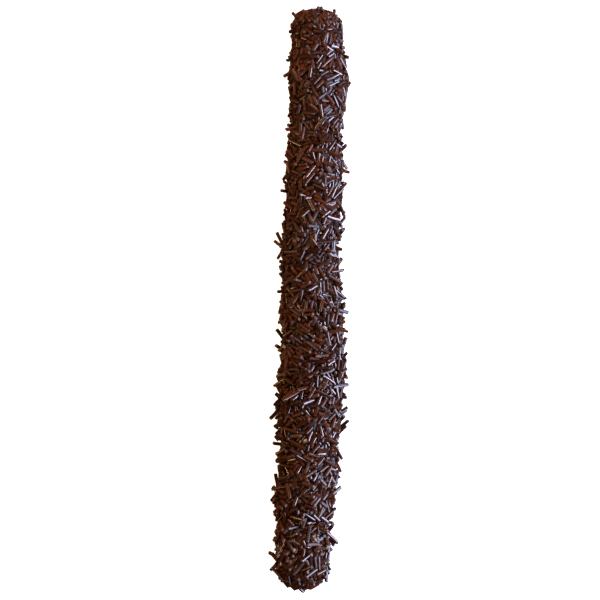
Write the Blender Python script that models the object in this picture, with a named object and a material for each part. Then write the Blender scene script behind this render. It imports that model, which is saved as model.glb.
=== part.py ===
"""A chocolate covered pretzel rod, rolled in chocolate sprinkles and lying on its side.

Metres, +Z up. The rod runs along Y, the side that shows is up, and the origin is the middle of the
flat that it lies on. The coated rod and the sprinkles that stand out of it are one closed solid.
"""

import math
import random

import bmesh
import bpy
from mathutils import Matrix, Vector

# The coated rod
ROD_LENGTH = 0.2060
HALF_LENGTH = ROD_LENGTH / 2
# Place along Y, radius out to the sprinkles' general level, and how far the middle lies towards +X
STATIONS = (
    (-0.1030, 0.0094, -0.0005),
    (-0.0920, 0.0094, -0.0007),
    (-0.0850, 0.0100, -0.0003),
    (-0.0775, 0.0094, -0.0003),
    (-0.0710, 0.0108, -0.0006),
    (-0.0620, 0.0102, 0.0008),
    (-0.0500, 0.0107, 0.0003),
    (-0.0370, 0.0114, 0.0005),
    (-0.0240, 0.0114, 0.0011),
    (-0.0020, 0.0106, 0.0002),
    (0.0200, 0.0100, -0.0012),
    (0.0320, 0.0097, -0.0003),
    (0.0440, 0.0103, -0.0003),
    (0.0590, 0.0094, -0.0003),
    (0.0690, 0.0099, 0.0000),
    (0.0765, 0.0107, 0.0003),
    (0.0860, 0.0096, -0.0002),
    (0.0950, 0.0091, -0.0008),
    (0.1030, 0.0090, -0.0012),
)
# Each end is rounded over this length, towards -Y and towards +Y
LOWER_END = 0.0075
UPPER_END = 0.0058
END_ROUNDNESS = 2.1  # 2 is an ellipse, and more is blunter
CENTRE_HEIGHT = 0.94  # height of the middle over the table, in radii, which makes the flat to lie on

# Bumps of the small sprinkles between the large ones
BUMP_HEIGHT = 0.0006
RINGS = 70
SIDES = 22

# The large sprinkles
SPRINKLE_COUNT = 330
SPRINKLE_SIDES = 5
SPRINKLE_LENGTHS = (0.0034, 0.0060)
SPRINKLE_DIAMETERS = (0.00115, 0.00145)
RISES = (0.0009, 0.0026)  # how much higher one end stands than the other
RISE_POWER = 1.6  # more of them lie low as this grows
# Over this stretch towards the upper end, and just before either end, they come to stand out less
CALM_FROM = 0.055
CALM_TO = 0.070
END_CALM_FROM = 0.0975
END_CALM_TO = 0.1005
CALM_SHARE = 0.3
# And over this one towards the upper end they come to be shorter
FINE_FROM = 0.078
FINE_TO = 0.090
FINE_SHARE = 0.7
ANGLE_JITTER = 0.2
ROOT_DEPTH = 0.0003  # how far the lower end's middle lies under the surface
TABLE_GAP = 0.0001
SEED = 11

GOLDEN_ANGLE = math.pi * (3 - math.sqrt(5))
FINE_STEPS = 4000
SMALL_STEP = 0.00002
UP = Vector((0, 0, 1))
CHOCOLATE = (0.055, 0.020, 0.010, 1.0)
GLOSS_ROUGHNESS = 0.35


def smooth(share):
    """The share, kept between 0 and 1, with an eased start and end."""
    share = min(1.0, max(0.0, share))
    return share * share * (3 - 2 * share)


def eased(y, column):
    """The value of one column of the stations at y, eased from each station to the next."""
    for (y0, *low), (y1, *high) in zip(STATIONS, STATIONS[1:]):
        if y <= y1:
            share = smooth((y - y0) / (y1 - y0))
            return low[column] + (high[column] - low[column]) * share
    return STATIONS[-1][column + 1]


def end_share(y):
    """Share of the full radius that the rounding of the ends leaves at y."""
    share = 1.0
    for from_end, length in ((HALF_LENGTH + y, LOWER_END), (HALF_LENGTH - y, UPPER_END)):
        if from_end < length:
            inward = 1 - max(0.0, from_end) / length
            share *= (1 - inward**END_ROUNDNESS) ** (1 / END_ROUNDNESS)
    return share


def surface(y, angle):
    """Point of the smooth coat at y, with the angle turning from +X over +Z."""
    full = eased(y, 0)
    radius = full * end_share(y)
    middle = Vector((eased(y, 1), y, CENTRE_HEIGHT * full))
    return middle + radius * Vector((math.cos(angle), 0, math.sin(angle)))


def outward(y, angle):
    """Direction out of the smooth coat there."""
    ahead = surface(min(y + SMALL_STEP, HALF_LENGTH), angle)
    behind = surface(max(y - SMALL_STEP, -HALF_LENGTH), angle)
    around = Vector((-math.sin(angle), 0, math.cos(angle)))
    return (ahead - behind).cross(around).normalized()


def spaced_along(count, by_area):
    """Places along Y in the middle of equal steps of the rod's outline, or of its area."""
    stops = [-HALF_LENGTH * math.cos(math.pi * k / FINE_STEPS) for k in range(FINE_STEPS + 1)]
    radii = [eased(y, 0) * end_share(y) for y in stops]
    total = [0.0]
    for y0, y1, r0, r1 in zip(stops, stops[1:], radii, radii[1:]):
        total.append(total[-1] + math.hypot(y1 - y0, r1 - r0) * ((r0 + r1) / 2 if by_area else 1))
    places, at = [], 0
    for k in range(count):
        wanted = total[-1] * (k + 0.5) / count
        while total[at + 1] < wanted:
            at += 1
        share = (wanted - total[at]) / (total[at + 1] - total[at])
        places.append(stops[at] + share * (stops[at + 1] - stops[at]))
    return places


def mesh_object(name, bm):
    """An object in the scene that holds this bmesh."""
    mesh = bpy.data.meshes.new(name)
    bm.to_mesh(mesh)
    bm.free()
    return bpy.data.objects.new(name, mesh)


def coated_rod():
    """The coat with its ends rounded, its bumps raised and the flat under it cut."""
    bm = bmesh.new()
    rings = [-HALF_LENGTH, *spaced_along(RINGS, False), HALF_LENGTH]
    chain = [bm.verts.new((eased(y, 0) * end_share(y), y, 0)) for y in rings]
    edges = [bm.edges.new(pair) for pair in zip(chain, chain[1:])]
    bmesh.ops.spin(
        bm,
        geom=chain + edges,
        cent=(0, 0, 0),
        axis=(0, 1, 0),
        angle=2 * math.pi,
        steps=SIDES,
        use_merge=True,
    )
    bmesh.ops.remove_doubles(bm, verts=bm.verts, dist=SMALL_STEP)
    draw = random.Random(SEED)
    for vert in bm.verts:
        y = vert.co.y
        angle = math.atan2(vert.co.z, vert.co.x)
        vert.co = surface(y, angle) + outward(y, angle) * draw.uniform(-BUMP_HEIGHT, BUMP_HEIGHT)
    whole = [*bm.verts, *bm.edges, *bm.faces]
    bmesh.ops.bisect_plane(bm, geom=whole, plane_co=(0, 0, 0), plane_no=UP, clear_inner=True)
    rim = [edge for edge in bm.edges if edge.is_boundary]
    for vert in {vert for edge in rim for vert in edge.verts}:
        vert.co.z = 0
    bmesh.ops.holes_fill(bm, edges=rim, sides=0)
    bmesh.ops.recalc_face_normals(bm, faces=bm.faces)
    return mesh_object("pretzel_rod", bm)


def rise_share(y):
    """Share of its rise that a sprinkle at y keeps."""
    up_the_rod = (y - CALM_FROM) / (CALM_TO - CALM_FROM)
    to_an_end = (abs(y) - END_CALM_FROM) / (END_CALM_TO - END_CALM_FROM)
    return 1 - (1 - CALM_SHARE) * smooth(max(up_the_rod, to_an_end))


def length_share(y):
    """Share of its length that a sprinkle at y keeps."""
    return 1 - (1 - FINE_SHARE) * smooth((y - FINE_FROM) / (FINE_TO - FINE_FROM))


def sprinkle_places():
    """Middle, direction, length and diameter of each large sprinkle that clears the table."""
    draw = random.Random(SEED)
    places = []
    for k, y in enumerate(spaced_along(SPRINKLE_COUNT, True)):
        angle = k * GOLDEN_ANGLE + draw.uniform(-ANGLE_JITTER, ANGLE_JITTER)
        turn = draw.uniform(0, 2 * math.pi)
        rise = (RISES[0] + (RISES[1] - RISES[0]) * draw.random() ** RISE_POWER) * rise_share(y)
        length = draw.uniform(*SPRINKLE_LENGTHS) * length_share(y)
        diameter = draw.uniform(*SPRINKLE_DIAMETERS)
        normal = outward(y, angle)
        around = Vector((-math.sin(angle), 0, math.cos(angle)))
        flat = around * math.cos(turn) + normal.cross(around) * math.sin(turn)
        tilt = math.asin(rise / length)
        direction = flat * math.cos(tilt) + normal * math.sin(tilt)
        middle = surface(y, angle) + normal * (rise / 2 - ROOT_DEPTH)
        lowest = middle.z - length / 2 * abs(direction.z) - diameter / 2
        if lowest > TABLE_GAP:
            places.append((middle, direction, length, diameter))
    return places


def sprinkle(middle, direction, length, diameter):
    """One sprinkle, a short rod with cut ends."""
    bm = bmesh.new()
    bmesh.ops.create_cone(
        bm,
        cap_ends=True,
        segments=SPRINKLE_SIDES,
        radius1=diameter / 2,
        radius2=diameter / 2,
        depth=length,
        matrix=Matrix.Translation(middle) @ direction.to_track_quat("Z", "Y").to_matrix().to_4x4(),
    )
    return mesh_object("sprinkle", bm)


def fused(body, toppings):
    """Joins the toppings to the body in one union, and removes them."""
    group = bpy.data.collections.new("toppings")
    bpy.context.scene.collection.children.link(group)
    for topping in toppings:
        group.objects.link(topping)
    union = body.modifiers.new("fuse", "BOOLEAN")
    union.operation = "UNION"
    union.solver = "EXACT"
    union.operand_type = "COLLECTION"
    union.collection = group
    graph = bpy.context.evaluated_depsgraph_get()
    joined = bpy.data.meshes.new_from_object(body.evaluated_get(graph))
    body.modifiers.clear()
    body.data = joined
    for topping in toppings:
        bpy.data.objects.remove(topping)
    bpy.data.collections.remove(group)


def keep_outer_body(body):
    """Fills hollows that the union sealed and drops loose scraps: only the largest closed surface stays."""
    bm = bmesh.new()
    bm.from_mesh(body.data)
    unseen = set(bm.faces)
    shells = []
    while unseen:
        shell, front = set(), [unseen.pop()]
        while front:
            face = front.pop()
            shell.add(face)
            near = {other for edge in face.edges for other in edge.link_faces} & unseen
            unseen -= near
            front.extend(near)
        shells.append(shell)
    outer = max(shells, key=len)
    bmesh.ops.delete(bm, geom=[face for face in bm.faces if face not in outer], context="FACES")
    bm.to_mesh(body.data)
    bm.free()


def chocolate():
    """Dark glossy chocolate."""
    material = bpy.data.materials.new("chocolate")
    material.use_nodes = True
    shader = material.node_tree.nodes["Principled BSDF"]
    shader.inputs["Base Color"].default_value = CHOCOLATE
    shader.inputs["Roughness"].default_value = GLOSS_ROUGHNESS
    shader.inputs["Metallic"].default_value = 0.0
    return material


def main():
    for obj in list(bpy.data.objects):
        bpy.data.objects.remove(obj)
    rod = coated_rod()
    bpy.context.scene.collection.objects.link(rod)
    fused(rod, [sprinkle(*place) for place in sprinkle_places()])
    keep_outer_body(rod)
    rod.data.materials.clear()
    rod.data.materials.append(chocolate())


main()
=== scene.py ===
import math
import random

import bmesh
import bpy
import numpy as np
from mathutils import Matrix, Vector, noise


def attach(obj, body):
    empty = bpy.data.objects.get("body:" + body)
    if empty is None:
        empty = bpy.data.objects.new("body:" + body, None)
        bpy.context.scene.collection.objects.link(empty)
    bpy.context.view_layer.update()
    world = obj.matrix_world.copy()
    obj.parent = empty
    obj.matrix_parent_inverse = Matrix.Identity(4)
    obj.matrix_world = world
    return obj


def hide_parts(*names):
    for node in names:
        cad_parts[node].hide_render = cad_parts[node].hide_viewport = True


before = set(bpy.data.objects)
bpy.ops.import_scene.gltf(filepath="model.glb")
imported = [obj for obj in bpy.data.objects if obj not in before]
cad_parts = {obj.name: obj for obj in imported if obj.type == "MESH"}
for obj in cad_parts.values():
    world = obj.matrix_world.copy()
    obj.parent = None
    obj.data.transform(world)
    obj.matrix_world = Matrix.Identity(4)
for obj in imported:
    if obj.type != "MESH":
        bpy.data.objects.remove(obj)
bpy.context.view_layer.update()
print("frame loaded")

goldenAngle = math.pi * (3 - math.sqrt(5))
tiny = 1e-9  # keeps a division from meeting zero

# Each station: place along Y, radius out to the sprinkles' general level, how far the middle lies towards +X
rod = {
    "halfLength": 0.1030,
    "lowerEnd": 0.0075,  # each end is rounded over this length
    "upperEnd": 0.0058,
    "roundness": 2.1,
    "endInset": 0.75,  # how deep the coat lies at the ends, as a share of its depth along the sides
    "centreHeight": 0.94,  # in radii
    "stations": np.array((
        (-0.1030, 0.0094, -0.0005),
        (-0.0920, 0.0094, -0.0007),
        (-0.0850, 0.0100, -0.0003),
        (-0.0775, 0.0094, -0.0003),
        (-0.0710, 0.0108, -0.0006),
        (-0.0620, 0.0102, 0.0008),
        (-0.0500, 0.0107, 0.0003),
        (-0.0370, 0.0114, 0.0005),
        (-0.0240, 0.0114, 0.0011),
        (-0.0020, 0.0106, 0.0002),
        (0.0200, 0.0100, -0.0012),
        (0.0320, 0.0097, -0.0003),
        (0.0440, 0.0103, -0.0003),
        (0.0590, 0.0094, -0.0003),
        (0.0690, 0.0099, 0.0000),
        (0.0765, 0.0107, 0.0003),
        (0.0860, 0.0096, -0.0002),
        (0.0950, 0.0091, -0.0008),
        (0.1030, 0.0090, -0.0012),
    )),
}


def eased(share):
    # From 0 to 1, with a soft start and end
    share = np.clip(share, 0, 1)
    return share * share * (3 - 2 * share)


def alongRod(y, column):
    # One column of the stations at y, eased from each station to the next
    stations = rod["stations"]
    step = np.clip(np.searchsorted(stations[:, 0], y) - 1, 0, len(stations) - 2)
    share = eased((y - stations[step, 0]) / (stations[step + 1, 0] - stations[step, 0]))
    return stations[step, column] + (stations[step + 1, column] - stations[step, column]) * share


def halfReach(inset):
    # Half the length of what lies this far under the sprinkles' general level
    return rod["halfLength"] - inset * rod["endInset"]


def endShare(y, inset=0.0):
    # Share of the radius that the rounded ends leave
    reach = halfReach(inset)
    share = np.ones_like(y)
    for fromEnd, length in ((reach + y, rod["lowerEnd"]), (reach - y, rod["upperEnd"])):
        inward = 1 - np.clip(fromEnd / (length - inset * rod["endInset"]), 0, 1)
        share = share * (1 - inward ** rod["roundness"]) ** (1 / rod["roundness"])
    return share


def rodSurface(y, angle, inset=0.0):
    # The angle turns from +X over +Z
    full = alongRod(y, 1)
    radius = (full - inset) * endShare(y, inset)
    across = alongRod(y, 2) + radius * np.cos(angle)
    up = rod["centreHeight"] * full + radius * np.sin(angle)
    return np.stack((across, y, up), -1)


def aroundRod(angle):
    return np.stack((-np.sin(angle), np.zeros_like(angle), np.cos(angle)), -1)


def unit(vectors):
    return vectors / np.maximum(np.linalg.norm(vectors, axis=-1, keepdims=True), tiny)


def outOfRod(y, angle, inset=0.0, step=0.00002):
    reach = halfReach(inset)
    ahead = rodSurface(np.minimum(y + step, reach), angle, inset)
    behind = rodSurface(np.maximum(y - step, -reach), angle, inset)
    return unit(np.cross(ahead - behind, aroundRod(angle)))


def spacedAlong(shares, byArea, inset=0.0, steps=4000):
    # Places along Y at these shares of the rod's outline or of its area
    reach = halfReach(inset)
    stops = -reach * np.cos(np.pi * np.arange(steps + 1) / steps)
    radii = (alongRod(stops, 1) - inset) * endShare(stops, inset)
    run = np.hypot(np.diff(stops), np.diff(radii))
    if byArea:
        run = run * (radii[1:] + radii[:-1]) / 2
    total = np.concatenate(([0.0], np.cumsum(run)))
    return np.interp(np.asarray(shares) * total[-1], total, stops)


# The coat of chocolate under the sprinkles
coat = {
    "inset": 0.00160,  # how far it lies under the sprinkles' general level
    "rings": 560,
    "sides": 150,
    "weld": 0.00001,  # points nearer than this are joined
    "lump": 0.00022,
    "lumpSize": 0.0045,
    "fineLump": 0.00016,
    "fineLumpSize": 0.0016,
    "pool": 0.00026,  # how much higher the chocolate stands where it has pooled
    "poolSize": 0.0060,
    "poolFrom": 0.12,
    "poolEdge": 0.25,
    "poolShift": (3.7, 1.3, 8.1),  # keeps the pools from following the lumps
    "rise": 0.00019,  # how far it climbs a sprinkle
    "riseReach": 0.00034,
    "riseWindow": 3,  # how many such reaches round a sprinkle are looked at
    "filmRise": 0.00012,  # how much further it climbs one that it covers
    "settles": 0.0009,  # what hangs lower than this lies on the table
    "settlesOver": 0.0010,
    "footLevel": 0.00012,
    "level": (-0.00012, 0.00010),  # lower along the lower half of the rod than along the upper half
    "levelChange": (-0.040, 0.030),
}

# Distance to the coat, worked out once on a grid of places along the rod and from its middle line
fields = {
    "yStep": 0.0005,
    "radiusStep": 0.00025,
    "yReach": 0.1100,
    "radiusReach": 0.0170,
    "outline": 900,
    "stopShort": 1.001,  # in cells, so that the last place read still has a cell after it
}


def coatField():
    outline = spacedAlong(np.linspace(0, 1, fields["outline"]), False, coat["inset"])
    outlineRadius = (alongRod(outline, 1) - coat["inset"]) * endShare(outline, coat["inset"])
    ys = np.arange(-fields["yReach"], fields["yReach"] + fields["yStep"] / 2, fields["yStep"])
    radii = np.arange(0, fields["radiusReach"], fields["radiusStep"])
    inside = np.interp(ys, outline, outlineRadius, left=-1, right=-1)
    near = np.empty((len(ys), len(radii)))
    for row, y in enumerate(ys):
        apart = np.hypot(outline[None] - y, outlineRadius[None] - radii[:, None]).min(1)
        near[row] = np.where(radii < inside[row], -apart, apart)
    slopeY, slopeRadius = np.gradient(near, fields["yStep"], fields["radiusStep"])
    return np.stack((near, slopeY, slopeRadius), -1)


coatGrid = coatField()


def cellOf(values, step, cells):
    # The cell of the grid that each value is in, and how far into it
    place = np.clip(values / step, 0, cells - fields["stopShort"])
    cell = place.astype(int)
    return cell, (place - cell)[:, None]


def overCoat(points):
    # Height over the coat, and the way out of it
    y = points[:, 1]
    across = points[:, 0] - alongRod(y, 2)
    up = points[:, 2] - rod["centreHeight"] * alongRod(y, 1)
    radius = np.hypot(across, up) + tiny
    row, rowShare = cellOf(y + fields["yReach"], fields["yStep"], coatGrid.shape[0])
    column, columnShare = cellOf(radius, fields["radiusStep"], coatGrid.shape[1])
    low = coatGrid[row, column] * (1 - columnShare) + coatGrid[row, column + 1] * columnShare
    high = coatGrid[row + 1, column] * (1 - columnShare) + coatGrid[row + 1, column + 1] * columnShare
    found = low * (1 - rowShare) + high * rowShare
    way = np.stack((found[:, 2] * across / radius, found[:, 1], found[:, 2] * up / radius), -1)
    return found[:, 0], unit(way)


kinds = {"standing": 0, "lying": 1, "drowned": 2, "broken": 3}

# The sprinkles that stand out, in the places of the solid's own
standing = {
    "count": 330,
    "lengths": (0.0034, 0.0060),
    "diameters": (0.00115, 0.00145),
    "rises": (0.0009, 0.0026),
    "risePower": 1.6,
    "calm": (0.055, 0.070),  # over this stretch towards the upper end they come to stand out less
    "endCalm": (0.0975, 0.1005),  # and over this one before either end
    "calmShare": 0.3,
    "fine": (0.078, 0.090),  # and over this one towards the upper end they come to be shorter
    "fineShare": 0.7,
    "angleJitter": 0.2,
    "rootDepth": 0.0003,
    "tableGap": 0.0001,
    "seed": 11,
    "girth": 0.97,
    "rootSink": 0.0005,  # the lower end reaches this much further in
}


def riseShare(y):
    calmFrom, calmTo = standing["calm"]
    endFrom, endTo = standing["endCalm"]
    share = np.maximum((y - calmFrom) / (calmTo - calmFrom), (np.abs(y) - endFrom) / (endTo - endFrom))
    return 1 - (1 - standing["calmShare"]) * eased(share)


def lengthShare(y):
    fineFrom, fineTo = standing["fine"]
    return 1 - (1 - standing["fineShare"]) * eased((y - fineFrom) / (fineTo - fineFrom))


def standingSprinkles():
    draw = random.Random(standing["seed"])
    places = spacedAlong((np.arange(standing["count"]) + 0.5) / standing["count"], True)
    centres, directions, halves, radii = [], [], [], []
    lowRise, highRise = standing["rises"]
    for k, y in enumerate(places):
        angle = k * goldenAngle + draw.uniform(-standing["angleJitter"], standing["angleJitter"])
        turn = draw.uniform(0, 2 * math.pi)
        rise = (lowRise + (highRise - lowRise) * draw.random() ** standing["risePower"]) * riseShare(y)
        length = draw.uniform(*standing["lengths"]) * lengthShare(y)
        diameter = draw.uniform(*standing["diameters"])
        normal = outOfRod(y, angle)
        around = aroundRod(np.float64(angle))
        flat = around * math.cos(turn) + np.cross(normal, around) * math.sin(turn)
        tilt = math.asin(rise / length)
        direction = flat * math.cos(tilt) + normal * math.sin(tilt)
        middle = rodSurface(y, angle) + normal * (rise / 2 - standing["rootDepth"])
        if middle[2] - length / 2 * abs(direction[2]) - diameter / 2 <= standing["tableGap"]:
            continue
        radius = diameter / 2 * standing["girth"]
        tip = middle + direction * length / 2
        root = middle - direction * length / 2 - normal * standing["rootSink"]
        root[2] = max(root[2], radius)
        centres.append((tip + root) / 2)
        directions.append(unit(tip - root))
        halves.append(np.linalg.norm(tip - root) / 2)
        radii.append(radius)
    count = len(centres)
    return {
        "centre": np.array(centres),
        "direction": np.array(directions),
        "half": np.array(halves),
        "radius": np.array(radii),
        "sunk": np.zeros(count),
        "kind": np.full(count, kinds["standing"]),
        "loose": np.zeros(count, int),
    }


# The sprinkles that lie on the coat
layer = {
    "count": 2960,
    "crowd": 260,  # so many of them go where the sprinkles are shorter, over this share of the area
    "crowdReach": 0.115,
    "seed": 4,
    "angleJitter": 0.5,
    "length": 0.0038,
    "lengthSpread": 0.0008,
    "lengthLimits": (0.0024, 0.0060),
    "diameters": (0.00114, 0.00140),
    "tilt": 0.12,
    "sink": (0.00012, 0.00050),  # how much of a sprinkle's thickness lies in the chocolate
    "drop": 0.0012,  # from how high above its place one starts at most
    "drownedShare": 0.09,
    "drownedSink": (0.0007, 0.0010),
    "bitShare": 0.07,
    "bitLengths": (0.0010, 0.0020),
    "steepShare": 0.04,  # those that stick in by one end and show the other
    "steepFrom": 0.6,  # none where the rod's sprinkles stand out less than this
    "steepTilts": (0.6, 1.25),
    "steepLengths": (0.0020, 0.0032),
    "steepPart": 3,  # the middle of such a one is lifted by its length over this
    "looseEnds": 0.3,  # share of the others that hold on by one end alone
}


def layerSprinkles():
    draw = np.random.default_rng(layer["seed"])
    count = layer["count"]
    shares = (draw.permutation(count) + draw.random(count)) / count
    crowded = np.arange(count) >= count - layer["crowd"]
    shares = np.where(crowded, 1 - (1 - shares) * layer["crowdReach"], shares)
    y = spacedAlong(shares, True, coat["inset"])
    jitter = layer["angleJitter"]
    angle = np.arange(count) * goldenAngle + draw.uniform(-jitter, jitter, count)
    length = np.clip(draw.normal(layer["length"], layer["lengthSpread"], count), *layer["lengthLimits"])
    length = length * lengthShare(y)
    bits = draw.random(count) < layer["bitShare"]
    length = np.where(bits, draw.uniform(*layer["bitLengths"], count), length)
    drowned = (draw.random(count) < layer["drownedShare"]) & ~bits
    steep = (draw.random(count) < layer["steepShare"]) & ~bits & ~drowned
    steep = steep & (riseShare(y) > layer["steepFrom"])
    length = np.where(steep, draw.uniform(*layer["steepLengths"], count), length)
    radius = draw.uniform(*layer["diameters"], count) / 2
    sunk = np.where(drowned, draw.uniform(*layer["drownedSink"], count), draw.uniform(*layer["sink"], count))
    normal = outOfRod(y, angle, coat["inset"])
    around = aroundRod(angle)
    turn = draw.uniform(0, 2 * np.pi, count)
    flat = around * np.cos(turn)[:, None] + np.cross(normal, around) * np.sin(turn)[:, None]
    tilt = np.where(steep, draw.uniform(*layer["steepTilts"], count), draw.normal(0, layer["tilt"], count))
    direction = flat * np.cos(tilt)[:, None] + normal * np.sin(tilt)[:, None]
    lift = radius - sunk + draw.uniform(0, layer["drop"], count)
    lift = lift + np.where(steep, length / layer["steepPart"], 0)
    centre = rodSurface(y, angle, coat["inset"]) + normal * lift[:, None]
    loose = draw.random(count) < layer["looseEnds"] * riseShare(y)
    loose = loose * np.where(draw.random(count) < 0.5, 1, -1)  # either end
    kind = np.select((drowned, bits), (kinds["drowned"], kinds["broken"]), kinds["lying"])
    return {
        "centre": centre,
        "direction": direction,
        "half": length / 2,
        "radius": radius,
        "sunk": sunk,
        "kind": kind,
        "loose": np.where(steep, 1, loose),
    }


def besideSprinkles(place, points, reach):
    # For each sprinkle, the points near it and how far each is from its side
    order = np.argsort(points[:, 1])
    sortedY = points[order, 1]
    centre, direction, half, radius = (place[key] for key in ("centre", "direction", "half", "radius"))
    window = half * np.abs(direction[:, 1]) + radius + reach
    starts = np.searchsorted(sortedY, centre[:, 1] - window)
    ends = np.searchsorted(sortedY, centre[:, 1] + window)
    for k in range(len(centre)):
        near = order[starts[k]:ends[k]]
        apart = points[near] - centre[k]
        close = np.abs(apart).max(1) < half[k] + radius[k] + reach
        near, apart = near[close], apart[close]
        along = np.clip(apart @ direction[k], -half[k], half[k])
        yield k, near, np.linalg.norm(apart - along[:, None] * direction[k], axis=1) - radius[k]


# Short sprinkles for the widest gaps between the others
filling = {
    "count": 900,
    "seed": 8,
    "samples": 24000,
    "look": 0.0016,  # how far from a place the sprinkles beside it are looked for
    "open": 1.0,  # the gap that counts where there are none
    "leastGap": 0.00032,
    "apart": 0.0011,
    "lengths": (0.0012, 0.0032),
    "sink": (0.0002, 0.0005),
}


def sampledCoat(count):
    y = spacedAlong((np.arange(count) + 0.5) / count, True, coat["inset"])
    angle = np.arange(count) * goldenAngle
    return y, angle, rodSurface(y, angle, coat["inset"])


def gapsOver(place, points):
    gap = np.full(len(points), filling["open"])
    for _, near, apart in besideSprinkles(place, points, filling["look"]):
        gap[near] = np.minimum(gap[near], apart)
    return gap


def fillingSprinkles(place):
    draw = np.random.default_rng(filling["seed"])
    y, angle, points = sampledCoat(filling["samples"])
    gap = gapsOver(place, points)
    chosen = []
    for k in np.argsort(-gap):
        if gap[k] < filling["leastGap"] or len(chosen) == filling["count"]:
            break
        if not chosen or np.linalg.norm(points[chosen] - points[k], axis=1).min() > filling["apart"]:
            chosen.append(k)
    count = len(chosen)
    y, angle = y[chosen], angle[chosen]
    normal, around = outOfRod(y, angle, coat["inset"]), aroundRod(angle)
    turn = draw.uniform(0, 2 * np.pi, count)
    direction = around * np.cos(turn)[:, None] + np.cross(normal, around) * np.sin(turn)[:, None]
    radius = draw.uniform(*layer["diameters"], count) / 2
    sunk = draw.uniform(*filling["sink"], count)
    print(count, "gaps filled")
    return {
        "centre": points[chosen] + normal * (radius - sunk)[:, None],
        "direction": direction,
        "half": draw.uniform(*filling["lengths"], count) / 2,
        "radius": radius,
        "sunk": sunk,
        "kind": np.full(count, kinds["lying"]),
        "loose": np.zeros(count, int),
    }


# How the sprinkles push each other aside until each has its place
settling = {
    "rounds": 240,
    "roundsAfterFilling": 130,
    "pairsEvery": 10,  # rounds from one search for near pairs to the next
    "margin": 0.0008,  # how far from touching a near pair is at most
    "touch": 0.96,  # two keep this share of their radii between their middle lines
    "push": 0.8,  # share of each push that a sprinkle gives way to
    "leverage": 3,  # how much more a push at its end turns a thin rod than moves it
    "leastSlant": 0.05,  # two that lie along each other count as this far from it
    "lift": 0.5,  # share of the way out that an end too deep in the coat is lifted
    "stick": 0.05,  # share of the way down that an end too high is drawn
    "stickMore": 2.0,  # where the rod's sprinkles lie flatter
    "endPull": 0.25,  # the whole sprinkle moves by this share, and its turn takes the end the rest of the way
    "tip": 0.5,  # share of a radius that the ends count as rounded
    "leastHalf": 0.0002,
}


def nearPairs(centre, reach, free):
    order = np.argsort(centre[:, 1])
    sortedY = centre[order, 1]
    window = 2 * reach.max()
    firsts, seconds = [], []
    ends = np.searchsorted(sortedY, sortedY + window)
    for k, end in enumerate(ends):
        others = order[k + 1:end]
        if not len(others):
            continue
        i = order[k]
        near = np.linalg.norm(centre[others] - centre[i], axis=1) < reach[others] + reach[i]
        near &= (free[others] | free[i])
        found = others[near]
        firsts.append(np.full(len(found), i))
        seconds.append(found)
    return np.concatenate(firsts), np.concatenate(seconds)


def rowDots(first, second):
    return np.einsum("ij,ij->i", first, second)


def addPush(move, turn, index, lever, push, direction, half):
    # The lever is how far along each sprinkle it is pushed
    across = push - direction * rowDots(direction, push)[:, None]
    spin = across * (settling["leverage"] * lever / half**2)[:, None]
    for axis in range(3):
        move[:, axis] += np.bincount(index, push[:, axis], len(move))
        turn[:, axis] += np.bincount(index, spin[:, axis], len(move))


def nearestPoints(centre, direction, half, first, second):
    # How far along each of two sprinkles they come nearest, and the way there from the second to the first
    apart = centre[first] - centre[second]
    slant = rowDots(direction[first], direction[second])
    onFirst = rowDots(direction[first], apart)
    onSecond = rowDots(direction[second], apart)
    s = (slant * onSecond - onFirst) / np.maximum(1 - slant**2, settling["leastSlant"])
    s = np.clip(s, -half[first], half[first])
    t = np.clip(slant * s + onSecond, -half[second], half[second])
    s = np.clip(slant * t - onFirst, -half[first], half[first])
    return s, t, apart + s[:, None] * direction[first] - t[:, None] * direction[second]


def turning(lever, half, direction, way):
    # How much more easily a sprinkle gives way where it is pushed than at its middle
    return 1 + settling["leverage"] * lever**2 / half**2 * (1 - rowDots(direction, way) ** 2)


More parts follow.
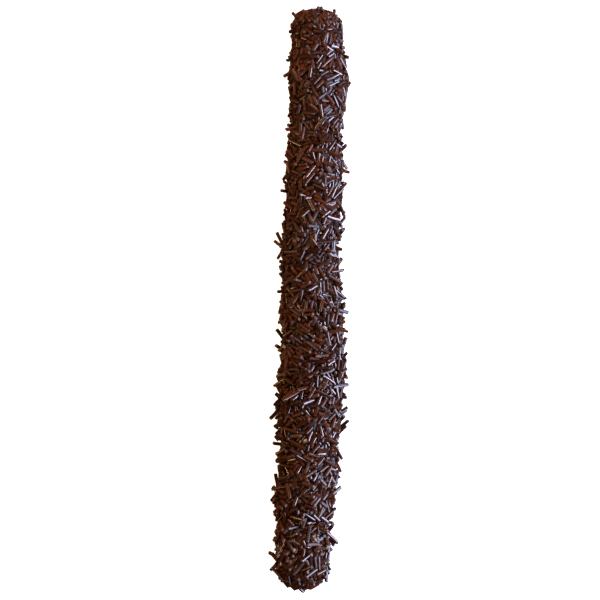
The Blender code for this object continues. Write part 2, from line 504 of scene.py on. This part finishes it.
def settle(place, rounds):
    centre, direction = place["centre"], place["direction"]
    radius, loose = place["radius"], place["loose"]
    half = np.maximum(place["half"] - settling["tip"] * radius, settling["leastHalf"])
    want = radius - place["sunk"]
    free = place["kind"] != kinds["standing"]
    weight = free.astype(float)
    every = np.arange(len(centre))
    stick = settling["stick"] * (1 + settling["stickMore"] * (1 - riseShare(centre[:, 1])))
    for turnNumber in range(rounds):
        if turnNumber % settling["pairsEvery"] == 0:
            first, second = nearPairs(centre, half + radius + settling["margin"], free)
        move, turn = np.zeros_like(centre), np.zeros_like(centre)
        hits = np.ones(len(centre))
        s, t, gap = nearestPoints(centre, direction, half, first, second)
        distance = np.linalg.norm(gap, axis=1) + tiny
        depth = (radius[first] + radius[second]) * settling["touch"] - distance
        hit = depth > 0
        i, j, s, t = first[hit], second[hit], s[hit], t[hit]
        way = gap[hit] / distance[hit][:, None]
        turnI = turning(s, half[i], direction[i], way)
        turnJ = turning(t, half[j], direction[j], way)
        share = depth[hit] / (weight[i] * turnI + weight[j] * turnJ)
        addPush(move, turn, i, s, way * (share * weight[i])[:, None], direction[i], half[i])
        addPush(move, turn, j, t, -way * (share * weight[j])[:, None], direction[j], half[j])
        hits += np.bincount(i, minlength=len(hits)) + np.bincount(j, minlength=len(hits))
        for end in (-1, 1):
            tips = centre + direction * (half * end)[:, None]
            height, out = overCoat(tips)
            lack = want - height
            drawn = lack * np.where(loose == end, 0.0, stick)
            pull = np.where(lack > 0, lack * settling["lift"], drawn) * weight
            pushed = out * pull[:, None] * settling["endPull"]
            addPush(move, turn, every, half * end, pushed, direction, half)
        soften = settling["push"] / np.sqrt(hits)
        centre = centre + move * soften[:, None]
        direction = unit(direction + turn * soften[:, None])
        low = radius - (centre[:, 2] - place["half"] * np.abs(direction[:, 2]))
        centre[:, 2] += np.where(free, np.maximum(low, 0), 0)
    place["centre"], place["direction"] = centre, direction
    print("sprinkles settled, deepest overlap left %.2f mm" % (depth.max() * 1000))


def together(*places):
    return {key: np.concatenate([place[key] for place in places]) for key in places[0]}


sprinkles = together(standingSprinkles(), layerSprinkles())
settle(sprinkles, settling["rounds"])
sprinkles = together(sprinkles, fillingSprinkles(sprinkles))
settle(sprinkles, settling["roundsAfterFilling"])
print(len(sprinkles["half"]), "sprinkles placed")


def pieceFrom(name, mesh, material):
    mesh.materials.clear()
    mesh.materials.append(material)
    piece = bpy.data.objects.new(name, mesh)
    bpy.context.scene.collection.objects.link(piece)
    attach(piece, "root")
    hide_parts("pretzel_rod")


def coatShell():
    # The coat's smooth shape round a straight middle line, turned from its outline
    bm = bmesh.new()
    reach = halfReach(coat["inset"])
    rings = spacedAlong(np.linspace(0, 1, coat["rings"]), False, coat["inset"])
    rings[0], rings[-1] = -reach, reach
    radii = (alongRod(rings, 1) - coat["inset"]) * endShare(rings, coat["inset"])
    chain = [bm.verts.new((radius, y, 0)) for radius, y in zip(radii, rings)]
    edges = [bm.edges.new(pair) for pair in zip(chain, chain[1:])]
    bmesh.ops.spin(
        bm,
        geom=chain + edges,
        cent=(0, 0, 0),
        axis=(0, 1, 0),
        angle=2 * math.pi,
        steps=coat["sides"],
        use_merge=True,
    )
    bmesh.ops.remove_doubles(bm, verts=bm.verts, dist=coat["weld"])
    bmesh.ops.recalc_face_normals(bm, faces=bm.faces)
    mesh = bpy.data.meshes.new("chocolate_coat")
    bm.to_mesh(mesh)
    bm.free()
    return mesh


def lumpsAt(points, size, shift=(0, 0, 0)):
    return np.array([noise.noise(Vector(point) / size + Vector(shift)) for point in points])


def coatMesh():
    mesh = coatShell()
    flat = np.empty(len(mesh.vertices) * 3)
    mesh.vertices.foreach_get("co", flat)
    points = flat.reshape(-1, 3)
    y, angle = points[:, 1], np.arctan2(points[:, 2], points[:, 0])
    base = rodSurface(y, angle, coat["inset"])
    out = outOfRod(y, angle, coat["inset"])
    lumps = lumpsAt(base, coat["lumpSize"]) * coat["lump"]
    fineLumps = lumpsAt(base, coat["fineLumpSize"]) * coat["fineLump"]
    pools = lumpsAt(base, coat["poolSize"], coat["poolShift"])
    pools = eased((pools - coat["poolFrom"]) / coat["poolEdge"])
    changeFrom, changeTo = coat["levelChange"]
    level = np.interp(eased((y - changeFrom) / (changeTo - changeFrom)), (0, 1), coat["level"])
    relief = lumps + fineLumps + pools * coat["pool"] + level + climb(base)
    points = base + out * relief[:, None]
    height = points[:, 2]
    lowered = height * eased((height - coat["settles"]) / coat["settlesOver"])
    points[:, 2] = np.maximum(lowered, coat["footLevel"])
    mesh.vertices.foreach_set("co", points.ravel())
    mesh.shade_smooth()
    mesh.update()
    # The pools are kept for the material, which paints them lighter: partly smoother pooled chocolate, partly
    # painted sheen
    poolAndSheen = mesh.attributes.new("poolAndSheen", "FLOAT", "POINT")
    poolAndSheen.data.foreach_set("value", pools)
    return mesh


def climb(points):
    # How far the chocolate rises round and over each sprinkle that lies in it
    rise = np.zeros(len(points))
    tall = coat["rise"] + (sprinkles["kind"] == kinds["drowned"]) * coat["filmRise"]
    for k, near, apart in besideSprinkles(sprinkles, points, coat["riseWindow"] * coat["riseReach"]):
        climbed = np.exp(-(np.maximum(apart, 0) / coat["riseReach"]) ** 2)
        rise[near] = np.maximum(rise[near], climbed * tall[k])
    return rise


# The form that every sprinkle is stretched from: radius 1, half length 1, standing on end
form = {
    "sides": 9,
    "rim": 0.2,  # width of the bevel round each cut end
    "flatEdge": 0.1,  # an edge that rises less is part of a rim
    "longEdge": 1,  # an edge that rises more runs from end to end
    "capSlope": 0.9,  # a face that points further up or down is a cut end
    "sharpChange": 0.25,  # an edge is sharp where its faces' slopes differ by more
}


def riseOf(edge):
    return abs(edge.verts[0].co.z - edge.verts[1].co.z)


def sprinkleForm(cuts):
    bm = bmesh.new()
    bmesh.ops.create_cone(bm, cap_ends=True, segments=form["sides"], radius1=1, radius2=1, depth=2)
    rims = [edge for edge in bm.edges if riseOf(edge) < form["flatEdge"]]
    bmesh.ops.bevel(
        bm,
        geom=rims,
        offset=form["rim"],
        offset_type="OFFSET",
        segments=1,
        profile=0.5,
        affect="EDGES",
        material=-1,
    )
    lengthwise = [edge for edge in bm.edges if riseOf(edge) > form["longEdge"]]
    bmesh.ops.subdivide_edges(bm, edges=lengthwise, cuts=cuts)
    bmesh.ops.recalc_face_normals(bm, faces=bm.faces)
    bm.verts.index_update()
    bm.normal_update()
    points = np.array([vert.co for vert in bm.verts])
    faces = [[vert.index for vert in face.verts] for face in bm.faces]
    caps = np.array([abs(face.normal.z) > form["capSlope"] for face in bm.faces])
    sharp = np.zeros((len(points), len(points)), bool)
    for edge in bm.edges:
        first, second = (face.normal.z for face in edge.link_faces)
        sharp[edge.verts[0].index, edge.verts[1].index] = abs(first - second) > form["sharpChange"]
    bm.free()
    return {"points": points, "faces": faces, "caps": caps, "sharp": sharp | sharp.T}


shaping = {
    "bend": 0.035,
    "swell": 0.025,
    "swellWaves": (0.6, 1.4),
    "slantCut": 0.22,
    "cutFrom": 0.99,  # the cut slants what lies further out than this share of the half length
    "upright": 0.9,  # a sprinkle steeper than this measures its sides from +X, and the others from +Z
    "oval": 0.07,
    "taper": 0.03,
    "smearAndShadeHeight": 0.0013,  # up to here over the coat a sprinkle is darkened, partly as a smear of chocolate and partly as painted shade between the sprinkles
}


def joinedSprinkles(name, chosen, seed, cuts=1, bendMore=1.0, slantMore=1.0):
    draw = np.random.default_rng(seed)
    count = int(chosen.sum())
    centre, direction, half, radius = (
        sprinkles[key][chosen] for key in ("centre", "direction", "half", "radius")
    )
    shape = sprinkleForm(cuts)
    points = shape["points"]
    shoulder = 1 - form["rim"]
    span = np.clip(points[:, 2] / shoulder, -1, 1)
    beyond = points[:, 2] - span * shoulder
    cut = draw.normal(0, shaping["slantCut"] * slantMore, (count, 2))
    girth = 1 + draw.normal(0, shaping["taper"], (count, 1)) * span[None]
    swell = draw.normal(0, shaping["swell"], (count, 1))
    wave = np.pi * span[None] * draw.uniform(*shaping["swellWaves"], (count, 1))
    girth = girth + swell * np.cos(wave + draw.uniform(0, 2 * np.pi, (count, 1)))
    oval = draw.uniform(0, shaping["oval"], (count, 1))
    x = points[None, :, 0] * radius[:, None] * girth
    y = points[None, :, 1] * radius[:, None] * girth * (1 - oval)
    straight = half[:, None] - form["rim"] * radius[:, None]
    z = span[None] * straight + beyond[None] * radius[:, None]
    z = z + np.where(span[None] > shaping["cutFrom"], x * cut[:, :1], 0)
    z = z + np.where(span[None] < -shaping["cutFrom"], x * cut[:, 1:], 0)
    bend = draw.normal(0, shaping["bend"] * bendMore, (count, 1)) * half[:, None]
    x = x + bend * (1 - (z / half[:, None]) ** 2)
    helper = np.where(np.abs(direction[:, 2:]) < shaping["upright"], (0, 0, 1), (1, 0, 0))
    side = unit(np.cross(direction, helper))
    other = np.cross(direction, side)
    roll = draw.uniform(0, 2 * np.pi, (count, 1))
    u = side * np.cos(roll) + other * np.sin(roll)
    v = np.cross(direction, u)
    placed = centre[:, None] + x[..., None] * u[:, None] + y[..., None] * v[:, None]
    placed = placed + z[..., None] * direction[:, None]
    placed[..., 2] = np.maximum(placed[..., 2], 0)
    mesh = joinedCopies(name, placed, shape["faces"], draw.random(count))
    ends = np.empty(len(mesh.edges) * 2, int)
    mesh.edges.foreach_get("vertices", ends)
    first, second = (ends % len(points)).reshape(-1, 2).T
    rims = mesh.attributes.new("sharp_edge", "BOOLEAN", "EDGE")
    rims.data.foreach_set("value", shape["sharp"][first, second])
    # Cut ends are painted paler: partly the bare cut, partly painted glow of light through the sprinkle
    cutEndAndGlow = mesh.attributes.new("cutEndAndGlow", "FLOAT", "FACE")
    cutEndAndGlow.data.foreach_set("value", np.tile(shape["caps"].astype(float), count))
    # The lower a point lies over the coat, the darker it is painted: a smear of chocolate, and painted shade
    # between the sprinkles
    height, _ = overCoat(placed.reshape(-1, 3))
    smearAndShade = mesh.attributes.new("smearAndShade", "FLOAT", "POINT")
    smearAndShade.data.foreach_set("value", 1 - eased(height / shaping["smearAndShadeHeight"]))
    return mesh


def joinedCopies(name, placed, faces, tones):
    # One mesh of all the copies of a shape, whose placed points are given copy by copy
    count, each = placed.shape[:2]
    loops = np.concatenate(faces)
    sizes = np.array([len(face) for face in faces])
    starts = np.concatenate(([0], np.cumsum(sizes)[:-1]))
    number = np.arange(count)[:, None]
    mesh = bpy.data.meshes.new(name)
    mesh.vertices.add(count * each)
    mesh.vertices.foreach_set("co", placed.ravel())
    mesh.loops.add(count * len(loops))
    mesh.loops.foreach_set("vertex_index", (loops[None] + number * each).ravel())
    mesh.polygons.add(count * len(sizes))
    mesh.polygons.foreach_set("loop_start", (starts[None] + number * len(loops)).ravel())
    mesh.polygons.foreach_set("loop_total", np.tile(sizes, count))
    mesh.update(calc_edges=True)
    mesh.validate()
    mesh.shade_smooth()
    tone = mesh.attributes.new("tone", "FLOAT", "POINT")
    tone.data.foreach_set("value", np.repeat(tones, each))
    return mesh


# Crumbs of pretzel that stick between the sprinkles, most of them in one patch near the lower end
crumb = {
    "count": 48,
    "seed": 6,
    "sizes": (0.00045, 0.00110),
    "lift": 0.0013,  # how far over the coat they sit
    "gaps": (0.00012, 0.0008),  # how wide a gap between the sprinkles takes one
    "patch": -0.0875,  # where most of them are, and how far they spread there
    "patchReach": 0.0045,
    "patchMore": 150.0,  # how many times likelier than elsewhere one is there
    "lowest": -0.6,  # none where the coat faces further down, as the sine of its angle
    "rough": 0.36,
    "roughest": 0.45,  # the most that a corner is moved, as a share of the size
    "flattest": 0.45,
}


def crumbMesh():
    draw = np.random.default_rng(crumb["seed"])
    y, angle, places = sampledCoat(filling["samples"])
    gap = gapsOver(sprinkles, places)
    facing = np.sin(angle)
    fits = (gap > crumb["gaps"][0]) & (gap < crumb["gaps"][1]) & (facing > crumb["lowest"])
    fits = np.where(fits)[0]
    inPatch = np.exp(-(((y[fits] - crumb["patch"]) / crumb["patchReach"]) ** 2))
    weight = 1 + crumb["patchMore"] * (inPatch * facing[fits].clip(0, 1))
    chosen = draw.choice(fits, crumb["count"], replace=False, p=weight / weight.sum())
    size = draw.uniform(*crumb["sizes"], crumb["count"])
    lift = outOfRod(y[chosen], angle[chosen], coat["inset"]) * crumb["lift"]
    bm = bmesh.new()
    bmesh.ops.create_icosphere(bm, subdivisions=1, radius=1)
    bm.verts.index_update()
    ball = np.array([vert.co for vert in bm.verts])
    faces = [[vert.index for vert in face.verts] for face in bm.faces]
    bm.free()
    bumps = draw.normal(0, crumb["rough"], (crumb["count"], len(ball), 1))
    bumpy = 1 + bumps.clip(-crumb["roughest"], crumb["roughest"])
    squash = draw.uniform(crumb["flattest"], 1.0, (crumb["count"], 1, 3))
    placed = (places[chosen] + lift)[:, None] + ball[None] * bumpy * squash * size[:, None, None]
    return joinedCopies("crumbs", placed, faces, draw.random(crumb["count"]))


def nodeGroup(name, inputs, outputs):
    group = bpy.data.node_groups.new(name, "ShaderNodeTree")
    for label, kind, value in inputs:
        socket = group.interface.new_socket(label, in_out="INPUT", socket_type=kind)
        socket.default_value = value
    for label, kind in outputs:
        group.interface.new_socket(label, in_out="OUTPUT", socket_type=kind)
    return group


def addNode(tree, kind, place, settings=None, **values):
    node = tree.nodes.new(kind)
    node.location = place
    for key, value in (settings or {}).items():
        setattr(node, key, value)
    for key, value in values.items():
        node.inputs[key].default_value = value
    return node


# The detail and roughness of the noises, and the levels of the first between which the skin goes dull
skinLook = {
    "patches": (3.0, 0.6),
    "grains": (4.0, 0.55),
    "dullRange": (0.35, 0.70),
}


def skinNoise(group, place, detail, roughness):
    return addNode(group, "ShaderNodeTexNoise", place, Detail=detail, Roughness=roughness)


def chocolateSkin():
    # Fine unevenness of set chocolate: a mask of duller patches and a height for the bump
    group = nodeGroup(
        "chocolateSkin",
        (
            ("Patch Scale", "NodeSocketFloat", 300.0),
            ("Grain Scale", "NodeSocketFloat", 2500.0),
            ("Vector", "NodeSocketVector", (0, 0, 0)),
        ),
        (("Dullness", "NodeSocketFloat"), ("Height", "NodeSocketFloat")),
    )
    start = group.nodes.new("NodeGroupInput")
    end = group.nodes.new("NodeGroupOutput")
    patches = skinNoise(group, (200, 200), *skinLook["patches"])
    grain = skinNoise(group, (200, -100), *skinLook["grains"])
    levels = addNode(group, "ShaderNodeMapRange", (400, 200))
    levels.inputs["From Min"].default_value, levels.inputs["From Max"].default_value = skinLook["dullRange"]
    link = group.links.new
    link(start.outputs["Vector"], patches.inputs["Vector"])
    link(start.outputs["Patch Scale"], patches.inputs["Scale"])
    link(start.outputs["Vector"], grain.inputs["Vector"])
    link(start.outputs["Grain Scale"], grain.inputs["Scale"])
    link(patches.outputs["Fac"], levels.inputs["Value"])
    link(levels.outputs["Result"], end.inputs["Dullness"])
    link(grain.outputs["Fac"], end.inputs["Height"])
    return group


skinGroup = chocolateSkin()


def mixColor(tree, place, factor, first, second):
    node = tree.nodes.new("ShaderNodeMix")
    node.data_type = "RGBA"
    node.location = place
    # A Mix node has a set of sockets for each kind of value, and these are the ones for colors
    sockets = {"factor": node.inputs[0], "first": node.inputs[6], "second": node.inputs[7]}
    for key, value in (("factor", factor), ("first", first), ("second", second)):
        if isinstance(value, bpy.types.NodeSocket):
            tree.links.new(value, sockets[key])
        else:
            sockets[key].default_value = value
    return node.outputs[2]


def mapped(tree, place, source, low, high):
    node = addNode(tree, "ShaderNodeMapRange", place)
    tree.links.new(source, node.inputs["Value"])
    node.inputs["To Min"].default_value = low
    node.inputs["To Max"].default_value = high
    return node.outputs["Result"]


def newMaterial(name):
    material = bpy.data.materials.new(name)
    material.use_nodes = True
    return material, material.node_tree, material.node_tree.nodes["Principled BSDF"]


def readAttribute(tree, place, name):
    return addNode(tree, "ShaderNodeAttribute", place, {"attribute_name": name}).outputs["Fac"]


def placedSkin(tree, patchScale, grainScale):
    coordinates = addNode(tree, "ShaderNodeTexCoord", (-900, 0))
    skin = addNode(tree, "ShaderNodeGroup", (-700, 0), {"node_tree": skinGroup})
    skin.inputs["Patch Scale"].default_value = patchScale
    skin.inputs["Grain Scale"].default_value = grainScale
    tree.links.new(coordinates.outputs["Object"], skin.inputs["Vector"])
    return skin


def bumped(tree, shader, height, strength, distance):
    bump = addNode(tree, "ShaderNodeBump", (-250, -300))
    bump.inputs["Strength"].default_value = strength
    bump.inputs["Distance"].default_value = distance
    tree.links.new(height, bump.inputs["Height"])
    tree.links.new(bump.outputs["Normal"], shader.inputs["Normal"])


chocolateLook = {
    "deep": (0.0103, 0.0026, 0.0010, 1),
    "light": (0.0225, 0.0061, 0.0025, 1),
    # Colour where the chocolate has pooled: partly its smoother surface, partly painted sheen
    "poolAndSheen": (0.0400, 0.0140, 0.0066, 1),
    "skin": (260.0, 1800.0),  # how many patches and how many grains to a metre
    "roughness": (0.28, 0.48),
    "bump": (0.5, 0.00015),
}


def chocolateMaterial():
    material, tree, shader = newMaterial("dark_chocolate")
    skin = placedSkin(tree, *chocolateLook["skin"])
    dullness = skin.outputs["Dullness"]
    poolAndSheen = readAttribute(tree, (-900, 350), "poolAndSheen")
    between = mixColor(tree, (-450, 150), dullness, chocolateLook["deep"], chocolateLook["light"])
    # Pools turn lighter, partly as pooled chocolate and partly as painted sheen
    color = mixColor(tree, (-250, 150), poolAndSheen, between, chocolateLook["poolAndSheen"])
    tree.links.new(color, shader.inputs["Base Color"])
    roughness = mapped(tree, (-450, -100), dullness, *chocolateLook["roughness"])
    tree.links.new(roughness, shader.inputs["Roughness"])
    bumped(tree, shader, skin.outputs["Height"], *chocolateLook["bump"])
    return material


sprinkleLook = {
    "dark": (0.0150, 0.0035, 0.0012, 1),
    "light": (0.0560, 0.0150, 0.0052, 1),
    "skin": (420.0, 2600.0),
    "patchShare": 0.35,  # how far the dull patches turn light
    # Colour of the cut ends: the bare cut, and painted glow of light through the sprinkle
    "cutEndAndGlow": (0.085, 0.030, 0.015, 1),
    "cutEndAndGlowShare": 0.25,
    "cutRoughness": 0.6,
    # Colour of a sprinkle's low parts: chocolate smear and painted shade between the sprinkles
    "smearAndShade": (0.0070, 0.0019, 0.0008, 1),
    "smearAndShadeShare": 0.85,
    "glazed": (0.07, 0.17),  # roughness of the two finishes, from the clean skin to its dull patches
    "dull": (0.32, 0.50),
    "bump": (0.12, 0.00005),
    "specular": 0.68,
}


def sprinkleMaterial(name, roughnesses):
    material, tree, shader = newMaterial(name)
    skin = placedSkin(tree, *sprinkleLook["skin"])
    dullness = skin.outputs["Dullness"]
    tone = readAttribute(tree, (-900, 350), "tone")
    cutEndAndGlow = readAttribute(tree, (-900, -350), "cutEndAndGlow")
    smearAndShade = readAttribute(tree, (-900, 550), "smearAndShade")
    body = mixColor(tree, (-550, 300), tone, sprinkleLook["dark"], sprinkleLook["light"])
    patches = mapped(tree, (-550, 100), dullness, 0.0, sprinkleLook["patchShare"])
    uneven = mixColor(tree, (-350, 300), patches, body, sprinkleLook["light"])
    # Cut ends turn paler: the bare cut, and painted glow of light through the sprinkle
    ends = mapped(tree, (-550, -350), cutEndAndGlow, 0.0, sprinkleLook["cutEndAndGlowShare"])
    clean = mixColor(tree, (-150, 300), ends, uneven, sprinkleLook["cutEndAndGlow"])
    # Low parts of each sprinkle turn darker: chocolate smear and painted shade between the sprinkles
    smearAndShadeMix = mapped(tree, (-350, 500), smearAndShade, 0.0, sprinkleLook["smearAndShadeShare"])
    color = mixColor(tree, (50, 300), smearAndShadeMix, clean, sprinkleLook["smearAndShade"])
    tree.links.new(color, shader.inputs["Base Color"])
    sides = mapped(tree, (-350, -100), dullness, *roughnesses)
    roughness = addNode(tree, "ShaderNodeMix", (-150, -100), B=sprinkleLook["cutRoughness"])
    tree.links.new(cutEndAndGlow, roughness.inputs["Factor"])
    tree.links.new(sides, roughness.inputs["A"])
    tree.links.new(roughness.outputs["Result"], shader.inputs["Roughness"])
    shader.inputs["Specular IOR Level"].default_value = sprinkleLook["specular"]
    bumped(tree, shader, skin.outputs["Height"], *sprinkleLook["bump"])
    return material


crumbLook = {
    "pale": (0.33, 0.27, 0.20, 1),
    "brown": (0.14, 0.075, 0.032, 1),
    "skin": (900.0, 4000.0),
    "roughness": 0.75,
    "bump": (0.4, 0.00005),
}


def crumbMaterial():
    material, tree, shader = newMaterial("pretzel_crumb")
    skin = placedSkin(tree, *crumbLook["skin"])
    tone = readAttribute(tree, (-900, 350), "tone")
    baked = mixColor(tree, (-450, 250), tone, crumbLook["pale"], crumbLook["brown"])
    color = mixColor(tree, (-250, 150), skin.outputs["Dullness"], baked, crumbLook["brown"])
    tree.links.new(color, shader.inputs["Base Color"])
    shader.inputs["Roughness"].default_value = crumbLook["roughness"]
    bumped(tree, shader, skin.outputs["Height"], *crumbLook["bump"])
    return material


chocolate = chocolateMaterial()
glazed = sprinkleMaterial("glazed_sprinkle", sprinkleLook["glazed"])
dull = sprinkleMaterial("dull_sprinkle", sprinkleLook["dull"])
print("materials made")

pieceFrom("chocolate_coat", coatMesh(), chocolate)
print("coat made")

# Which of the sprinkles that lie on the coat are bent or dull
batch = {
    "bentEvery": 9,
    "dullInTen": 2,
    "dullInTenAbove": 3,  # past this place towards the upper end
    "dullAbove": 0.082,
    "seed": 21,
}


def sprinkleBatches():
    # The name, sprinkles, material and shape of each kind
    kind, alongY = sprinkles["kind"], sprinkles["centre"][:, 1]
    numbers = np.arange(len(kind))
    dullInTen = np.where(alongY > batch["dullAbove"], batch["dullInTenAbove"], batch["dullInTen"])
    lying = kind == kinds["lying"]
    bent = lying & (numbers % batch["bentEvery"] == 0)
    rubbed = lying & (numbers % 10 >= 10 - dullInTen) & ~bent
    return (
        ("sprinkles_standing", kind == kinds["standing"], glazed, {"cuts": 2}),
        ("sprinkles_straight", lying & ~bent & ~rubbed, glazed, {}),
        ("sprinkles_dull", rubbed, dull, {}),
        ("sprinkles_bent", bent, glazed, {"cuts": 3, "bendMore": 3.5}),
        ("sprinkles_drowned", kind == kinds["drowned"], chocolate, {}),
        ("sprinkles_broken", kind == kinds["broken"], dull, {"slantMore": 1.8}),
    )


for number, (name, chosen, material, shape) in enumerate(sprinkleBatches()):
    pieceFrom(name, joinedSprinkles(name, chosen, batch["seed"] + number, **shape), material)
    print(name, "made of", chosen.sum())

pieceFrom("crumbs", crumbMesh(), crumbMaterial())
print("crumbs made")


studio = {
    "floorSide": 4.0,
    "floorColor": (0.86, 0.86, 0.86, 1),
    "floorLight": (1.0, 0.98, 0.94, 1),
    "floorGlow": 0.66,
    "floorShade": 0.985,  # how much darker its mottling is
    "floorMottling": 40.0,
    "floorRoughness": 0.9,
    "floorSpecular": 0.1,
    "ambient": (0.070, 0.064, 0.055, 1),
    "backdrop": (0.72, 0.705, 0.67, 1),
    "lightDistance": 0.6,
}
# Azimuth from +X towards +Y, elevation, width and height in metres, watts, color, whether it shows as gloss
daylight, lamplight, warmth = (0.585, 0.69, 1.0), (1.0, 0.70, 0.34), (1.0, 0.78, 0.62)
lights = {
    "window": (-40, 8, (0.30, 0.16), 2.5, daylight, True),
    "windowLow": (0, 8, (0.30, 0.16), 2.8, daylight, True),
    "windowMiddle": (0, 26, (0.30, 0.16), 6.0, daylight, True),
    "windowSide": (-40, 26, (0.30, 0.16), 1.9, daylight, True),
    "windowFar": (45, 20, (0.30, 0.16), 1.3, daylight, True),
    "windowHigh": (0, 44, (0.30, 0.16), 0.7, daylight, True),
    "soft": (90, 40, (0.40, 0.30), 4.3, warmth, False),
    "softFront": (-90, 40, (0.40, 0.30), 0.9, warmth, False),
    "softLeft": (150, 50, (0.30, 0.30), 1.5, warmth, False),
    "lampHigh": (200, 50, (0.12, 0.12), 0.22, lamplight, True),
    "lampMiddle": (160, 28, (0.12, 0.12), 0.11, lamplight, True),
    "lampSide": (200, 28, (0.12, 0.12), 0.18, lamplight, True),
    "lampLow": (160, 9, (0.12, 0.12), 0.12, lamplight, True),
    "glint": (180, 25, (0.06, 0.06), 0.44, (1.0, 0.66, 0.30), True),
}


def pointedLight(name, azimuth, elevation, size, power, color, shines):
    light = bpy.data.lights.new(name, "AREA")
    light.shape = "RECTANGLE"
    light.size, light.size_y = size
    light.energy = power
    light.color = color
    lamp = bpy.data.objects.new(name, light)
    turn, lift = math.radians(azimuth), math.radians(elevation)
    way = Vector((math.cos(turn) * math.cos(lift), math.sin(turn) * math.cos(lift), math.sin(lift)))
    lamp.location = way * studio["lightDistance"]
    lamp.rotation_euler = (-way).to_track_quat("-Z", "Y").to_euler()
    lamp.visible_camera = False
    lamp.visible_glossy = shines
    bpy.context.scene.collection.objects.link(lamp)


def buildWorld():
    # The camera sees a backdrop of the far floor's color, and the object gets only a little light from it
    world = bpy.data.worlds.new("studio")
    world.use_nodes = True
    tree = world.node_tree
    ambient = tree.nodes["Background"]
    ambient.inputs["Color"].default_value = studio["ambient"]
    backdrop = addNode(tree, "ShaderNodeBackground", (0, -200), Color=studio["backdrop"])
    rays = addNode(tree, "ShaderNodeLightPath", (0, 300))
    mix = addNode(tree, "ShaderNodeMixShader", (250, 100))
    tree.links.new(rays.outputs["Is Camera Ray"], mix.inputs["Fac"])
    tree.links.new(ambient.outputs["Background"], mix.inputs[1])
    tree.links.new(backdrop.outputs["Background"], mix.inputs[2])
    tree.links.new(mix.outputs["Shader"], tree.nodes["World Output"].inputs["Surface"])
    world.cycles_visibility.glossy = False
    bpy.context.scene.world = world


def floorMaterial():
    material, tree, shader = newMaterial("pale_floor")
    coordinates = addNode(tree, "ShaderNodeTexCoord", (-700, 0))
    paper = addNode(tree, "ShaderNodeTexNoise", (-500, 0), Scale=studio["floorMottling"])
    tree.links.new(coordinates.outputs["Object"], paper.inputs["Vector"])
    pale = studio["floorColor"]
    shaded = tuple(channel * studio["floorShade"] for channel in pale[:3]) + (1,)
    color = mixColor(tree, (-250, 0), paper.outputs["Fac"], pale, shaded)
    tree.links.new(color, shader.inputs["Base Color"])
    shader.inputs["Roughness"].default_value = studio["floorRoughness"]
    shader.inputs["Specular IOR Level"].default_value = studio["floorSpecular"]
    shader.inputs["Emission Color"].default_value = studio["floorLight"]
    shader.inputs["Emission Strength"].default_value = studio["floorGlow"]
    return material


def buildStudio():
    bm = bmesh.new()
    bmesh.ops.create_grid(bm, x_segments=1, y_segments=1, size=studio["floorSide"] / 2)
    mesh = bpy.data.meshes.new("floor")
    bm.to_mesh(mesh)
    bm.free()
    mesh.materials.append(floorMaterial())
    floor = bpy.data.objects.new("floor", mesh)
    bpy.context.scene.collection.objects.link(floor)
    floor.visible_glossy = False
    for name, setting in lights.items():
        pointedLight(name, *setting)
    buildWorld()
    bpy.context.scene.view_settings.view_transform = "Standard"


# The camera looks straight down, as the photograph does, and frames the rod as it does: metres of rod to a
# pixel, the pixel where the rod's middle is, and how far the rod leans in the picture
picture = {
    "side": 600,
    "metresPerPixel": 0.000355,
    "rodPixel": (311.5, 299.5),
    "leanDegrees": 1.67,
    "lens": 100.0,
    "sensor": 36.0,
    "height": 0.010,  # over the floor, where a pixel is that wide
    "clip": (0.01, 10.0),
}


def buildCamera():
    camera = bpy.data.cameras.new("camera")
    camera.lens = picture["lens"]
    camera.sensor_width = picture["sensor"]
    width = picture["side"] * picture["metresPerPixel"]
    lean = math.radians(picture["leanDegrees"])
    right = Vector((math.cos(lean), math.sin(lean), 0))
    up = Vector((-math.sin(lean), math.cos(lean), 0))
    middle = picture["side"] / 2
    aside = (picture["rodPixel"][0] - middle) * picture["metresPerPixel"]
    above = (middle - picture["rodPixel"][1]) * picture["metresPerPixel"]
    eye = bpy.data.objects.new("camera", camera)
    distance = width * picture["lens"] / picture["sensor"]
    eye.location = -right * aside - up * above + Vector((0, 0, picture["height"] + distance))
    eye.rotation_euler = (0, 0, lean)
    camera.clip_start, camera.clip_end = picture["clip"]
    bpy.context.scene.collection.objects.link(eye)
    bpy.context.scene.camera = eye


buildStudio()
buildCamera()
print("studio and camera made")
